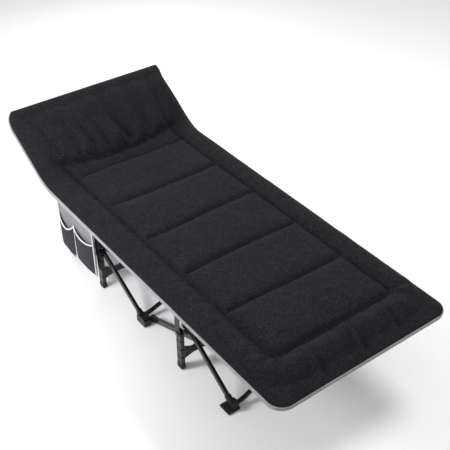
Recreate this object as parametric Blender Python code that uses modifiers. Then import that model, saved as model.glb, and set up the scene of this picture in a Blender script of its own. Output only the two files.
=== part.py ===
"""Folding cot: a padded bed on a frame that folds in half, with its legs and floor struts folding flat."""

import math

import bmesh
import bpy
import numpy as np
from mathutils import Matrix, Vector

# Overall sizes, in metres. X runs from the head (-) to the foot (+), Y across, Z up from the floor.
LENGTH = 1.795
WIDTH = 0.75
EDGE_HEIGHT = 0.365  # floor to the piping round the mat
GAP = 0.0005  # left between pieces that touch
PIVOT_PLAY = 0.0004  # radial play of a pin in its hole

# Side rails
RAIL_RADIUS = 0.0125
RAIL_INSET = 0.0625  # rail centre from the mat's edge
RAIL_TOP_BELOW_EDGE = 0.0185  # room for the padding's underside and the sling
RAIL_END_INSET = 0.032
BAR_RADIUS = 0.011
RAIL_Y = WIDTH / 2 - RAIL_INSET
RAIL_HEIGHT = EDGE_HEIGHT - RAIL_TOP_BELOW_EDGE - RAIL_RADIUS
RAIL_END = LENGTH / 2 - RAIL_END_INSET
HEAD_RAIL_END = -RAIL_END + 0.006
HEAD_BEND_START = -LENGTH / 2 + 0.3475
HEAD_BEND_END = HEAD_BEND_START - 0.12
HEAD_SLOPE = math.radians(29.5)

# Hinge across the middle
HINGE_X = -0.012
HINGE_ABOVE_RAIL = 0.008
HINGE_HEIGHT = RAIL_HEIGHT + RAIL_RADIUS + HINGE_ABOVE_RAIL
KNUCKLE_RADIUS = 0.0065
HINGE_PIN_RADIUS = 0.003
LEAF_LENGTH = 0.07
LEAF_THICKNESS = 0.004
EAR_LENGTH = 0.0225
ARM_THICKNESS = 0.003

# Legs
LEG_HEAD_X = -0.298
LEG_FOOT_X = 0.274
LEG_WIDTH = 0.032
LEG_THICKNESS = 0.016
LEG_PIVOT_HEIGHT = RAIL_HEIGHT - 0.156
LEG_CAP_HEIGHT = 0.020
LEG_CAP_CORNER = 0.009
LEG_CAP_PROUD = 0.0005
LEG_GROOVES = (0.17, 0.34, 0.57, 0.80)  # shares of the height of the leg's pivot
GROOVE_DEPTH = 0.0020
GROOVE_HEIGHT = 0.0048
BOLT_RADIUS = 0.004
BOLT_HEAD_RADIUS = 0.0078
STRUT_HEIGHT = 0.365 * LEG_PIVOT_HEIGHT  # low enough for the brace to pass over it
STRUT_THICKNESS = 0.012

# Hub brackets under the rails
CHEEK_THICKNESS = 0.003
STRAP_HALF_WIDTH = 0.0152
HUB_REACH = 0.125
HUB_BACK = 0.036
WEB_THICKNESS = 0.010
WEB_LOW = LEG_PIVOT_HEIGHT + 0.019
WEB_HIGH = LEG_PIVOT_HEIGHT + 0.058
SADDLE_BOTTOM = RAIL_HEIGHT - 0.042
LUG_OFFSET = 0.022
LUG_PIVOT_HEIGHT = LEG_PIVOT_HEIGHT + 0.0104
LUG_HALF_WIDTH = 0.0095

# Floor struts, which lie in three lanes side by side
STRUT_TUBE_HEIGHT = 0.021
STRUT_TUBE_THICKNESS = 0.013
TUBE_CORNER = 0.003
COLLAR_WALL = 0.0015
MID_LANE = RAIL_Y - LEG_THICKNESS / 2 - 0.0005 - STRUT_TUBE_THICKNESS / 2
FLOOR_LANE = MID_LANE - STRUT_TUBE_THICKNESS - 0.001
BRACE_LANE = FLOOR_LANE - STRUT_TUBE_THICKNESS - 0.0015
BRACE_HEIGHT = 0.024
PAD_REACH = 0.2655  # pad centre from its leg, along X
PAD_LENGTH = 0.055
PAD_THICKNESS = 0.009
PAD_COLLAR_HEIGHT = 0.0315
PAD_INNER = BRACE_LANE - 0.0075
FLOOR_SLOPE = math.atan2(LUG_PIVOT_HEIGHT - PAD_COLLAR_HEIGHT, PAD_REACH - LUG_OFFSET)
MID_PIVOT_LOW = (HINGE_X, 0.024)
MID_BLOCK_INNER = MID_LANE - 0.0185
FLOOR_TUBE_RADIUS = 0.009
KNUCKLE_AT = (HINGE_X + 0.026, 0.026)
BRACE_ALONG = 0.044  # the brace's pivot from the floor strut's, along X
BRACE_PIVOT_HEIGHT = LUG_PIVOT_HEIGHT - BRACE_ALONG * math.tan(FLOOR_SLOPE)
BRACE_PIVOT = (LEG_FOOT_X + LUG_OFFSET + BRACE_ALONG, BRACE_PIVOT_HEIGHT)
STUB_RADIUS = 0.0035

# Cloth and padding
SLING_THICKNESS = 0.003
SLING_GAP = 0.024  # from the hinge to the sling's edge
MAT_GAP = 0.025  # between the two halves of the mat, over the hinge
PILLOW_START = -LENGTH / 2 + 0.2545
HEAD_CURL = 0.8
HEAD_CURL_START = -RAIL_END - 0.0075
HEAD_EDGE = -LENGTH / 2 - (EDGE_HEIGHT - RAIL_HEIGHT) * math.sin(HEAD_SLOPE)
BORDER = 0.116
FOOT_BORDER = 0.165
SEAM_COUNT = 6
FIRST_SEAM = PILLOW_START + 0.1198
SEAM_SPACING = (LENGTH / 2 - FOOT_BORDER - FIRST_SEAM) / (SEAM_COUNT - 1)
SEAM_RISE = 0.026
PANEL_RISE = 0.044
BORDER_RISE = 0.010
PILLOW_RISE = 0.072
UNDER_DEPTH = 0.0130
BAG_LEFT = -0.578
BAG_RIGHT = -0.292
BAG_TOP = RAIL_HEIGHT - 0.012
BAG_BOTTOM = BAG_TOP - 0.25
BAG_CLOTH = 0.004
POCKET_SPLIT = -0.450
POCKET_DEPTH = 0.010
POCKET_HEIGHTS = (0.128, 0.150)

SIDES = (("right", -1.0), ("left", 1.0))

for startupObject in list(bpy.data.objects):
    bpy.data.objects.remove(startupObject)


def makeCollection(name, helper=False):
    collection = bpy.data.collections.new(name)
    bpy.context.scene.collection.children.link(collection)
    collection.hide_render = helper
    return collection


cot = makeCollection("folding_cot")
cutters = makeCollection("cutters", helper=True)
pivots = {}
materials = {}


def material(name, color, roughness, metallic=0.0):
    made = bpy.data.materials.new(name)
    made.use_nodes = True
    shader = made.node_tree.nodes["Principled BSDF"]
    shader.inputs["Base Color"].default_value = (*color, 1.0)
    shader.inputs["Roughness"].default_value = roughness
    shader.inputs["Metallic"].default_value = metallic
    materials[name] = made


material("black_tube", (0.012, 0.012, 0.013), 0.32)
material("black_plastic", (0.020, 0.020, 0.021), 0.48)
material("rubber_pad", (0.018, 0.018, 0.018), 0.75)
material("pin_steel", (0.30, 0.30, 0.31), 0.35, metallic=1.0)
material("charcoal_fabric", (0.035, 0.035, 0.038), 0.9)
material("sling_fabric", (0.42, 0.42, 0.44), 0.85)
material("pocket_fabric", (0.08, 0.08, 0.085), 0.9)


def pivot(name, x, z):
    """An empty on a body's joint axis, which its pieces follow."""
    empty = bpy.data.objects.new(name, None)
    empty.location = (x, 0.0, z)
    empty.empty_display_size = 0.03
    cot.objects.link(empty)
    pivots[name] = empty


def addObject(name, mesh, body, slot):
    """Links a mesh given in world coordinates, with its origin on the body's joint axis."""
    origin = pivots[body].location
    mesh.transform(Matrix.Translation(-origin))
    made = bpy.data.objects.new(name, mesh)
    made.parent = pivots[body]
    cot.objects.link(made)
    mesh.materials.append(materials[slot])
    return made


def addCutter(name, mesh):
    made = bpy.data.objects.new(name, mesh)
    made.display_type = "WIRE"
    made.hide_render = True
    cutters.objects.link(made)
    return made


def finishMesh(name, edit):
    bmesh.ops.remove_doubles(edit, verts=edit.verts, dist=1e-6)
    bmesh.ops.recalc_face_normals(edit, faces=edit.faces)
    mesh = bpy.data.meshes.new(name)
    edit.to_mesh(mesh)
    edit.free()
    return mesh


def prismMesh(name, outline, low, high, axis="Y"):
    """Extrudes an outline: (x, z) points along Y, or (y, z) points along X."""
    edit = bmesh.new()

    def place(point, level):
        if axis == "Y":
            return (point[0], level, point[1])
        return (level, point[0], point[1])

    first = [edit.verts.new(place(point, low)) for point in outline]
    last = [edit.verts.new(place(point, high)) for point in outline]
    edit.faces.new(first)
    edit.faces.new(list(reversed(last)))
    for index in range(len(outline)):
        after = (index + 1) % len(outline)
        edit.faces.new((first[index], last[index], last[after], first[after]))
    return finishMesh(name, edit)


def boxMesh(name, x, y, z):
    return prismMesh(name, [(x[0], z[0]), (x[1], z[0]), (x[1], z[1]), (x[0], z[1])], y[0], y[1])


def span(side, low, high):
    """A range of distances from the centre plane, on the side wanted, in rising order."""
    return tuple(sorted((side * low, side * high)))


def circle(centre, radius, steps=20):
    return [
        (centre[0] + radius * math.cos(turn), centre[1] + radius * math.sin(turn))
        for turn in np.linspace(0.0, math.tau, steps, endpoint=False)
    ]


def capsule(start, end, halfHeight, roundStart=True, roundEnd=True, steps=8):
    """The outline of a straight tube in the X-Z plane; a round end is centred on its point."""
    heading = math.atan2(end[1] - start[1], end[0] - start[0])
    outline = []
    for point, facing, isRound in ((end, heading, roundEnd), (start, heading + math.pi, roundStart)):
        turns = np.linspace(-math.pi / 2, math.pi / 2, steps + 1 if isRound else 2)
        outline += [
            (point[0] + halfHeight * math.cos(facing + turn), point[1] + halfHeight * math.sin(facing + turn))
            for turn in turns
        ]
    return outline


def soften(made, width, segments=2):
    bevel = made.modifiers.new("Bevel", "BEVEL")
    bevel.width = width
    bevel.segments = segments
    bevel.limit_method = "ANGLE"
    bevel.angle_limit = math.radians(35)
    bevel.use_clamp_overlap = True


def boolean(made, other, operation):
    step = made.modifiers.new(operation.title(), "BOOLEAN")
    step.operation = operation
    step.solver = "EXACT"
    step.object = other


def join(made, mesh):
    """Unites another solid, in world coordinates, with the piece."""
    boolean(made, addCutter(made.name + "_with_" + mesh.name, mesh), "UNION")


def drill(made, centre, radius, y):
    """Cuts a round hole along Y through the piece."""
    margin = 0.002
    mesh = prismMesh("hole", circle(centre, radius), y[0] - margin, y[1] + margin)
    boolean(made, addCutter(made.name + "_hole", mesh), "DIFFERENCE")


def shadeRound(made):
    made.data.shade_smooth()
    made.data.set_sharp_from_angle(angle=math.radians(35))


def pathTube(name, points, radius, body, slot, steps=16):
    """A round tube along a path that lies in one plane, closed at both ends."""
    path = [Vector(point) for point in points]
    edit = bmesh.new()
    rings = []
    sideways = None
    for index, point in enumerate(path):
        before = path[max(index - 1, 0)]
        after = path[min(index + 1, len(path) - 1)]
        along = (after - before).normalized()
        if sideways is None:
            sideways = along.orthogonal().normalized()
        sideways = (sideways - along * sideways.dot(along)).normalized()
        upward = along.cross(sideways)
        rings.append(
            [
                edit.verts.new(point + radius * (math.cos(turn) * sideways + math.sin(turn) * upward))
                for turn in np.linspace(0.0, math.tau, steps, endpoint=False)
            ]
        )
    for ring, following in zip(rings, rings[1:]):
        for index in range(steps):
            after = (index + 1) % steps
            edit.faces.new((ring[index], ring[after], following[after], following[index]))
    edit.faces.new(rings[0])
    edit.faces.new(list(reversed(rings[-1])))
    made = addObject(name, finishMesh(name, edit), body, slot)
    soften(made, 0.0015)
    shadeRound(made)
    return made


def boltBetween(name, x, z, y, radius, headRadius, side, body):
    """A bolt along Y with a head on its outer end and a nut on its inner end."""
    shank = prismMesh(name, circle((x, z), radius), y[0], y[1])
    made = addObject(name, shank, body, "pin_steel")
    head = span(side, max(abs(y[0]), abs(y[1])) - 0.001, max(abs(y[0]), abs(y[1])) + 0.003)
    join(made, prismMesh("head", circle((x, z), headRadius, 24), *head))
    nut = span(side, min(abs(y[0]), abs(y[1])) - 0.0003, min(abs(y[0]), abs(y[1])) + 0.0032)
    join(made, prismMesh("nut", circle((x, z), headRadius * 0.92, 6), *nut))
    return made


def railRise(x):
    """How far the head end of a rail or of the cloth over it is above the flat part, at x."""
    if x > HEAD_BEND_START:
        return 0.0
    bend = HEAD_BEND_START - HEAD_BEND_END
    along = min(HEAD_BEND_START - x, bend)
    rise = math.tan(HEAD_SLOPE) * along * along / (2 * bend)
    return rise + math.tan(HEAD_SLOPE) * max(HEAD_BEND_END - x, 0.0)


def headPath(xFrom, xTo, height, offset=0.0):
    """Points along the head half's bent line, from the hinge towards the head, moved off it by offset."""
    bend = HEAD_BEND_START - HEAD_BEND_END
    stations = [xFrom] + [HEAD_BEND_START - step for step in np.linspace(0.0, bend, 9)] + [xTo]
    points = []
    for x in stations:
        slope = (railRise(x - 1e-4) - railRise(x + 1e-4)) / 2e-4
        length = math.hypot(1.0, slope)
        points.append((x + offset * slope / length, height + railRise(x) + offset / length))
    return points


def addRails():
    for label, side in SIDES:
        flat = [(x, side * RAIL_Y, z) for x, z in headPath(HINGE_X - GAP, HEAD_RAIL_END, RAIL_HEIGHT)]
        pathTube(f"rail_head_{label}", flat, RAIL_RADIUS, "head_half", "black_tube")
        ends = [(HINGE_X + GAP, side * RAIL_Y, RAIL_HEIGHT), (RAIL_END, side * RAIL_Y, RAIL_HEIGHT)]
        pathTube(f"rail_foot_{label}", ends, RAIL_RADIUS, "foot_half", "black_tube")
    inner = RAIL_Y - RAIL_RADIUS - GAP
    headX = HEAD_RAIL_END + RAIL_RADIUS * 1.2
    headZ = RAIL_HEIGHT + railRise(headX)
    ends = [(headX, -inner, headZ), (headX, inner, headZ)]
    pathTube("bar_head", ends, BAR_RADIUS, "head_half", "black_tube")
    footX = RAIL_END - RAIL_RADIUS
    ends = [(footX, -inner, RAIL_HEIGHT), (footX, inner, RAIL_HEIGHT)]
    pathTube("bar_foot", ends, BAR_RADIUS, "foot_half", "black_tube")


def addHinge(label, side):
    """Two leaves on the inner faces of the rails, their knuckles above the rail on one pin."""
    leafOuter = RAIL_Y - RAIL_RADIUS - GAP
    leafY = span(side, leafOuter - LEAF_THICKNESS, leafOuter)
    centre = (HINGE_X, HINGE_HEIGHT)
    knuckles = {
        "head": (leafOuter - 0.0095, leafOuter + 0.004),
        "foot": (leafOuter + 0.0045, leafOuter + 0.018),
    }
    for half, direction in (("head", -1.0), ("foot", 1.0)):
        near = HINGE_X + direction * GAP
        far = HINGE_X + direction * LEAF_LENGTH
        top = RAIL_HEIGHT + RAIL_RADIUS - 0.002
        low = RAIL_HEIGHT - 0.009
        outline = [(near, low), (far, low + 0.004), (far, top - 0.004), (near, top)]
        leaf = prismMesh("leaf", outline, *leafY)
        made = addObject(f"hinge_leaf_{half}_{label}", leaf, f"{half}_half", "black_plastic")
        inner, outer = knuckles[half]
        crown = RAIL_HEIGHT + RAIL_RADIUS + GAP
        root = HINGE_X + direction * EAR_LENGTH
        clear = HINGE_X + direction * (KNUCKLE_RADIUS + 0.001)
        ear = [(clear, top - 0.006), (root, top - 0.006), (root, crown + 0.0005), (clear, crown + 0.0005)]
        join(made, prismMesh("ear", ear, *leafY))
        arm = [(clear, crown), (root, crown), (root, crown + ARM_THICKNESS), (clear, HINGE_HEIGHT + 0.001)]
        join(made, prismMesh("arm", arm, *span(side, leafOuter - LEAF_THICKNESS, outer)))
        shoulder = clear + direction * 0.002
        tongue = [(HINGE_X, crown + 0.001), (shoulder, crown + 0.001)]
        tongue += [(shoulder, HINGE_HEIGHT), (HINGE_X, HINGE_HEIGHT)]
        join(made, prismMesh("tongue", tongue, *span(side, inner, outer)))
        barrel = circle(centre, KNUCKLE_RADIUS, 24)
        join(made, prismMesh("barrel", barrel, *span(side, inner, outer)))
        drill(made, centre, HINGE_PIN_RADIUS + PIVOT_PLAY, span(side, inner, outer))
    pinY = (knuckles["head"][0] - 0.0015, knuckles["foot"][1] + 0.0015)
    pin = prismMesh("pin", circle(centre, HINGE_PIN_RADIUS, 20), *span(side, *pinY))
    made = addObject(f"hinge_pin_{label}", pin, "foot_half", "pin_steel")
    for level in pinY:
        join(made, prismMesh("rivet", circle(centre, 0.0048, 20), *span(side, level - 0.001, level + 0.001)))


def addHub(half, legX, lugDirection, label, side):
    """A bracket under a rail: a strap for the leg's bolt, and a web with a stub for the floor strut."""
    body = f"{half}_half"
    cheekInner = RAIL_Y + LEG_THICKNESS / 2 + GAP
    cheekY = span(side, cheekInner, cheekInner + CHEEK_THICKNESS)
    saddleTop = RAIL_HEIGHT - RAIL_RADIUS - GAP
    strap = capsule((legX, LEG_PIVOT_HEIGHT), (legX, saddleTop), STRAP_HALF_WIDTH, True, False, 12)
    made = addObject(f"hub_{half}_{label}", prismMesh("strap", strap, *cheekY), body, "black_plastic")
    soften(made, 0.0008, 1)
    lugInner = MID_LANE - 0.0055
    front = legX + HUB_REACH / 2
    saddleY = span(side, lugInner, cheekInner + 0.001)
    join(made, boxMesh("saddle", (legX - HUB_BACK, front), saddleY, (SADDLE_BOTTOM, saddleTop)))
    web = [(legX - 0.004, saddleTop), (legX - 0.004, WEB_LOW + 0.004), (legX + 0.016, WEB_LOW)]
    webEnd = legX + HUB_REACH
    web += [(webEnd - 0.008, WEB_HIGH - 0.002), (webEnd, WEB_HIGH), (webEnd, saddleTop)]
    join(made, prismMesh("web", web, *span(side, lugInner, lugInner + WEB_THICKNESS)))
    lugX = legX + lugDirection * LUG_OFFSET
    lug = capsule((lugX, LUG_PIVOT_HEIGHT), (lugX, SADDLE_BOTTOM + 0.006), LUG_HALF_WIDTH, True, False)
    join(made, prismMesh("lug", lug, *span(side, lugInner, lugInner + WEB_THICKNESS)))
    stubEnd = FLOOR_LANE - STRUT_TUBE_THICKNESS / 2 - 0.0005
    stub = circle((lugX, LUG_PIVOT_HEIGHT), STUB_RADIUS)
    join(made, prismMesh("stub", stub, *span(side, stubEnd, lugInner + 0.002)))
    drill(made, (legX, LEG_PIVOT_HEIGHT), BOLT_RADIUS + PIVOT_PLAY, cheekY)
    innerEnd = MID_LANE - STRUT_TUBE_THICKNESS / 2 if half == "head" else RAIL_Y - LEG_THICKNESS / 2
    innerEnd -= 0.0038
    boltY = span(side, innerEnd, cheekInner + CHEEK_THICKNESS + 0.0015)
    name = f"bolt_{half}_{label}"
    boltBetween(name, legX, LEG_PIVOT_HEIGHT, boltY, BOLT_RADIUS, BOLT_HEAD_RADIUS, side, body)


def addLegs(half, legX):
    """A pair of legs with rubber ends, and the flared cross strut that ties them together."""
    body = f"leg_frame_{half}"
    for label, side in SIDES:
        y = span(side, RAIL_Y - LEG_THICKNESS / 2, RAIL_Y + LEG_THICKNESS / 2)
        low = (legX, LEG_CAP_HEIGHT + GAP)
        high = (legX, LEG_PIVOT_HEIGHT)
        outline = capsule(low, high, LEG_WIDTH / 2, False, True)
        made = addObject(f"leg_{half}_{label}", prismMesh("leg", outline, *y), body, "black_tube")
        soften(made, 0.0022)
        for share in LEG_GROOVES:
            addGroove(made, legX, share * LEG_PIVOT_HEIGHT, y)
        drill(made, (legX, LEG_PIVOT_HEIGHT), BOLT_RADIUS + PIVOT_PLAY, y)
        addLegCap(half, label, legX, y)
    inner = RAIL_Y - LEG_THICKNESS / 2 - GAP
    neck = inner - 0.040
    outline = [
        (-inner, STRUT_HEIGHT - 0.025),
        (-neck, STRUT_HEIGHT - 0.014),
        (neck, STRUT_HEIGHT - 0.014),
        (inner, STRUT_HEIGHT - 0.025),
        (inner, STRUT_HEIGHT + 0.035),
        (neck, STRUT_HEIGHT + 0.014),
        (-neck, STRUT_HEIGHT + 0.014),
        (-inner, STRUT_HEIGHT + 0.035),
    ]
    strut = prismMesh("strut", outline, legX - STRUT_THICKNESS / 2, legX + STRUT_THICKNESS / 2, axis="X")
    soften(addObject(f"strut_{half}", strut, body, "black_plastic"), 0.002)


def addLegCap(half, label, legX, y):
    """The rubber end of a leg, its lower edges rounded fore and aft."""
    wide = LEG_WIDTH / 2 + LEG_CAP_PROUD
    corner = LEG_CAP_CORNER
    turns = [math.radians(turn) for turn in (180, 200, 220, 240, 255, 270)]
    centreX = legX - wide + corner
    cap = [(centreX + corner * math.cos(turn), corner + corner * math.sin(turn)) for turn in turns]
    cap += [(2 * legX - x, z) for x, z in reversed(cap)]
    cap += [(legX + wide, LEG_CAP_HEIGHT), (legX - wide, LEG_CAP_HEIGHT)]
    mesh = prismMesh("cap", cap, y[0] - LEG_CAP_PROUD, y[1] + LEG_CAP_PROUD)
    soften(addObject(f"leg_cap_{half}_{label}", mesh, f"leg_frame_{half}", "rubber_pad"), 0.0012)


def addGroove(made, legX, level, y):
    """A shallow band all round a leg."""
    reach = LEG_WIDTH / 2 + 0.004
    inside = LEG_WIDTH / 2 - GROOVE_DEPTH
    low = level - GROOVE_HEIGHT / 2
    high = level + GROOVE_HEIGHT / 2
    for direction in (-1.0, 1.0):
        x = sorted((legX + direction * inside, legX + direction * reach))
        cut = boxMesh("band", x, (y[0] - 0.002, y[1] + 0.002), (low, high))
        boolean(made, addCutter(made.name + "_band", cut), "DIFFERENCE")
    for edge, direction in ((y[0], 1.0), (y[1], -1.0)):
        depth = sorted((edge - direction * 0.002, edge + direction * GROOVE_DEPTH))
        cut = boxMesh("band", (legX - reach, legX + reach), depth, (low, high))
        boolean(made, addCutter(made.name + "_band", cut), "DIFFERENCE")


def archTube(name, x, low, high, reach, body):
    """A round cross tube that rises from its two ends to a level middle."""
    rise = 0.085
    level = 0.005
    points = [(x, -reach, low)]
    for along in np.linspace(0.0, 1.0, 9):
        ease = along * along * (3 - 2 * along)
        points.append((x, -reach + level + rise * along, low + (high - low) * ease))
    mirrored = [(x, -y, z) for _, y, z in reversed(points)]
    pathTube(name, points + mirrored, FLOOR_TUBE_RADIUS, body, "black_tube")


def addMidFrame():
    """Two struts from the head hubs to feet under the middle hinge, tied by a cross tube."""
    top = (LEG_HEAD_X, LEG_PIVOT_HEIGHT)
    half = STRUT_TUBE_HEIGHT / 2
    heading = math.atan2(MID_PIVOT_LOW[1] - top[1], MID_PIVOT_LOW[0] - top[0])
    run = (math.cos(heading), math.sin(heading))
    reach = math.dist(top, MID_PIVOT_LOW)
    sleeve = reach - 0.040
    collarHalf = STRUT_TUBE_THICKNESS / 2 + COLLAR_WALL
    tubeEnd = (top[0] + run[0] * (sleeve - GAP), top[1] + run[1] * (sleeve - GAP))
    sleeveStart = (top[0] + run[0] * sleeve, top[1] + run[1] * sleeve)
    for label, side in SIDES:
        y = span(side, MID_LANE - STRUT_TUBE_THICKNESS / 2, MID_LANE + STRUT_TUBE_THICKNESS / 2)
        outline = capsule(top, tubeEnd, half, True, False)
        made = addObject(f"diag_mid_{label}", prismMesh("diag", outline, *y), "mid_frame", "black_tube")
        soften(made, TUBE_CORNER, 3)
        drill(made, top, BOLT_RADIUS + PIVOT_PLAY, y)
        blockY = span(side, MID_BLOCK_INNER, RAIL_Y - 0.0015)
        outline = [
            (HINGE_X - 0.030, 0.0),
            (HINGE_X + 0.026, 0.0),
            (HINGE_X + 0.030, 0.005),
            (HINGE_X + 0.030, 0.030),
            (HINGE_X + 0.022, 0.038),
            (HINGE_X - 0.014, 0.038),
            (HINGE_X - 0.030, 0.030),
        ]
        block = prismMesh("block", outline, *blockY)
        made = addObject(f"mid_block_{label}", block, "mid_frame", "black_plastic")
        soften(made, 0.0015)
        collar = capsule(sleeveStart, MID_PIVOT_LOW, half + COLLAR_WALL, False, True)
        join(made, prismMesh("collar", collar, *span(side, MID_LANE - collarHalf, MID_LANE + collarHalf)))
    archTube("floor_tube_mid", HINGE_X - 0.016, 0.026, 0.046, MID_BLOCK_INNER - GAP, "mid_frame")


def addFloorFrame(half, legX, direction):
    """Two struts from a pair of hubs out to floor pads, tied by a cross tube."""
    body = f"floor_frame_{half}"
    top = (legX + direction * LUG_OFFSET, LUG_PIVOT_HEIGHT)
    run = (direction * math.cos(FLOOR_SLOPE), -math.sin(FLOOR_SLOPE))
    centre = legX + direction * PAD_REACH
    reach = (PAD_REACH - LUG_OFFSET) / math.cos(FLOOR_SLOPE)
    tubeLength = reach - 0.026
    tubeEnd = (top[0] + run[0] * (tubeLength - GAP), top[1] + run[1] * (tubeLength - GAP))
    sleeveStart = (top[0] + run[0] * tubeLength, top[1] + run[1] * tubeLength)
    sleeveEnd = (top[0] + run[0] * (reach + 0.002), top[1] + run[1] * (reach + 0.002))
    halfHeight = STRUT_TUBE_HEIGHT / 2
    collarHalf = STRUT_TUBE_THICKNESS / 2 + COLLAR_WALL
    for label, side in SIDES:
        y = span(side, FLOOR_LANE - STRUT_TUBE_THICKNESS / 2, FLOOR_LANE + STRUT_TUBE_THICKNESS / 2)
        outline = capsule(top, tubeEnd, halfHeight, True, False)
        made = addObject(f"diag_{half}_{label}", prismMesh("diag", outline, *y), body, "black_tube")
        soften(made, TUBE_CORNER, 3)
        drill(made, top, STUB_RADIUS + PIVOT_PLAY, y)
        if half == "foot":
            stub = circle(BRACE_PIVOT, STUB_RADIUS)
            stubY = span(side, BRACE_LANE - STRUT_TUBE_THICKNESS / 2 - 0.0015, FLOOR_LANE - 0.002)
            join(made, prismMesh("stub", stub, *stubY))
        plate = [
            (centre - PAD_LENGTH / 2, 0.002),
            (centre - PAD_LENGTH / 2 + 0.002, 0.0),
            (centre + PAD_LENGTH / 2 - 0.002, 0.0),
            (centre + PAD_LENGTH / 2, 0.002),
            (centre + PAD_LENGTH / 2, PAD_THICKNESS),
            (centre - PAD_LENGTH / 2, PAD_THICKNESS),
        ]
        plateY = span(side, PAD_INNER, RAIL_Y)
        made = addObject(f"pad_{half}_{label}", prismMesh("plate", plate, *plateY), body, "rubber_pad")
        soften(made, 0.0012)
        collar = capsule(sleeveStart, sleeveEnd, halfHeight + COLLAR_WALL, False, True)
        join(made, prismMesh("collar", collar, *span(side, FLOOR_LANE - collarHalf, FLOOR_LANE + collarHalf)))
        post = [(centre - 0.012, 0.004), (centre + 0.024, 0.004)]
        post += [(centre + 0.024, 0.036), (centre - 0.006, 0.036)]
        post = [(centre + direction * (x - centre), z) for x, z in post]
        join(made, prismMesh("post", post, *span(side, BRACE_LANE - 0.004, FLOOR_LANE + 0.006)))
    tubeX = centre + direction * 0.0115
    archTube(f"floor_tube_{half}", tubeX, 0.024, 0.054, PAD_INNER - GAP, body)


def addBraces():
    """The wide struts from the foot floor frame back to the feet under the middle hinge."""
    for label, side in SIDES:
        body = f"brace_{label}_body"
        pivot(body, *BRACE_PIVOT)
        heading = math.atan2(BRACE_PIVOT[1] - KNUCKLE_AT[1], BRACE_PIVOT[0] - KNUCKLE_AT[0])
        run = (math.cos(heading), math.sin(heading))
        start = (KNUCKLE_AT[0] + run[0] * 0.034, KNUCKLE_AT[1] + run[1] * 0.034)
        y = span(side, BRACE_LANE - STRUT_TUBE_THICKNESS / 2, BRACE_LANE + STRUT_TUBE_THICKNESS / 2)
        outline = capsule(start, BRACE_PIVOT, BRACE_HEIGHT / 2, False, True)
        made = addObject(f"brace_{label}", prismMesh("brace", outline, *y), body, "black_tube")
        soften(made, TUBE_CORNER, 3)
        drill(made, BRACE_PIVOT, STUB_RADIUS + PIVOT_PLAY, y)
        discY = span(side, BRACE_LANE - 0.0085, BRACE_LANE + 0.0070)
        disc = prismMesh("disc", circle(KNUCKLE_AT, 0.0150, 28), *discY)
        made = addObject(f"brace_knuckle_{label}", disc, body, "black_plastic")
        soften(made, 0.0012)
        sleeveEnd = (start[0] - run[0] * GAP, start[1] - run[1] * GAP)
        sleeve = capsule(KNUCKLE_AT, sleeveEnd, BRACE_HEIGHT / 2, False, False)
        halfThick = STRUT_TUBE_THICKNESS / 2
        join(made, prismMesh("sleeve", sleeve, *span(side, BRACE_LANE - halfThick, BRACE_LANE + halfThick)))


def clothAlong(name, line, thickness, halfWidth, body, slot):
    """A flat sheet across the rails that follows an (x, z) line."""
    edit = bmesh.new()
    rings = []
    for index, (x, z) in enumerate(line):
        before = line[max(index - 1, 0)]
        after = line[min(index + 1, len(line) - 1)]
        run = Vector((after[0] - before[0], after[1] - before[1])).normalized()
        up = Vector((-run[1], run[0])) if run[0] > 0 else Vector((run[1], -run[0]))
        section = ((-halfWidth, thickness), (-halfWidth, 0.0), (halfWidth, 0.0), (halfWidth, thickness))
        rings.append([edit.verts.new((x + up[0] * n, y, z + up[1] * n)) for y, n in section])
    for ring, following in zip(rings, rings[1:]):
        for index in range(4):
            after = (index + 1) % 4
            edit.faces.new((ring[index], ring[after], following[after], following[index]))
    edit.faces.new(rings[0])
    edit.faces.new(rings[-1])
    return addObject(name, finishMesh(name, edit), body, slot)


def addSling():
    base = RAIL_HEIGHT + RAIL_RADIUS + GAP
    halfWidth = RAIL_Y + RAIL_RADIUS + GAP + SLING_THICKNESS
    offset = RAIL_RADIUS + GAP
    line = headPath(HINGE_X - SLING_GAP, HEAD_RAIL_END - 0.002, RAIL_HEIGHT, offset)
    clothAlong("sling_head", line, SLING_THICKNESS, halfWidth, "head_half", "sling_fabric")
    line = [(HINGE_X + SLING_GAP, base), (RAIL_END + 0.001, base)]
    clothAlong("sling_foot", line, SLING_THICKNESS, halfWidth, "foot_half", "sling_fabric")


def smoothStep(value):
    value = min(max(value, 0.0), 1.0)
    return value * value * (3 - 2 * value)


def seamDip(x, y):
    """How full the padding is at a place: 0 on a quilting seam, 1 in the middle of a panel."""
    seamY = WIDTH / 2 - BORDER
    across = min(abs(abs(y) - seamY) / 0.05, 1.0)
    full = 1.0 - (1.0 - across) ** 2.2
    if abs(y) > seamY:
        return full
    nearest = min(abs(x - (FIRST_SEAM + index * SEAM_SPACING)) for index in range(SEAM_COUNT))
    along = 1.0 - (1.0 - min(nearest / 0.06, 1.0)) ** 2.2
    return min(full, along)


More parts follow.
